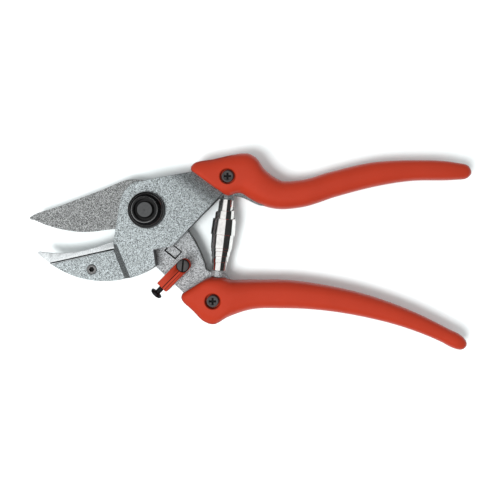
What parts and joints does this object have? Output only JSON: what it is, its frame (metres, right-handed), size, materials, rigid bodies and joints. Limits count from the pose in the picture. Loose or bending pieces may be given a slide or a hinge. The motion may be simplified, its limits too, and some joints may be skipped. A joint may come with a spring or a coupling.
{
  "type": "pruning shears",
  "caption": "Bypass pruning shears with a hooked counter-blade, barrel return spring, lever lock with a sprung stud and curved moulded grips, lying open.",
  "frame": {"origin": "on the pivot axis, at the outer face of the pivot bolt's head, on which the shears rest", "axes": "+X to the handles, +Y to the upper handle, +Z along the pivot from the back to the front"},
  "size_m": [0.2106, 0.0936, 0.0208],
  "materials": {
    "front_casting": "sand-blasted",
    "rear_casting": "sand-blasted",
    "blade_steel": "matt coated",
    "counter_blade_steel": "bright ground",
    "plain_screw_steel": "zinc plated",
    "bolt_steel": "blackened, turned",
    "black_steel": "black oxide",
    "spring_chrome": "polished",
    "grip_red": "satin moulded",
    "lever_red": "satin"
  },
  "bodies": {
    "upper": {"upper_handle": "front_casting", "counter_blade": "counter_blade_steel", "counter_blade_screw": "plain_screw_steel", "upper_grip": "grip_red", "upper_grip_screw": "black_steel", "volute_spring": "spring_chrome"},
    "lower": {"lower_handle": "rear_casting", "cutting_blade": "blade_steel", "lower_grip": "grip_red", "lower_grip_screw": "black_steel", "pivot_bolt": "bolt_steel", "pivot_bushing": "plain_screw_steel", "pivot_washer": "plain_screw_steel", "pivot_disc_spring": "plain_screw_steel", "pivot_nut": "black_steel", "lock_screw": "bolt_steel", "lever_wave_washer": "plain_screw_steel"},
    "lever": {"lock_lever": "lever_red", "stud_pin": "plain_screw_steel", "lock_spring": "plain_screw_steel"},
    "stud": {"lock_stud": "black_steel"}
  },
  "joints": [
    {"name": "blade_pivot", "type": "hinge", "parent": "upper", "child": "lower", "pos_m": [0, 0, 0.0085], "axis": [0, 0, 1], "range_deg": [0, 21.5], "stiffness_Nm_per_rad": 2, "springref_deg": -8.59, "deforming": ["volute_spring"]},
    {"name": "lock_lever_pivot", "type": "hinge", "parent": "lower", "child": "lever", "pos_m": [0.0171, -0.0257, 0.0128], "axis": [0, 0, 1], "range_deg": [-22, 23]},
    {"name": "lock_stud_slide", "type": "slide", "parent": "lever", "child": "stud", "axis": [0.6997, 0.7145, 0], "range_m": [0, 0.003], "stiffness_N_per_m": 400, "springref_m": -0.002, "deforming": ["lock_spring"]}
  ]
}
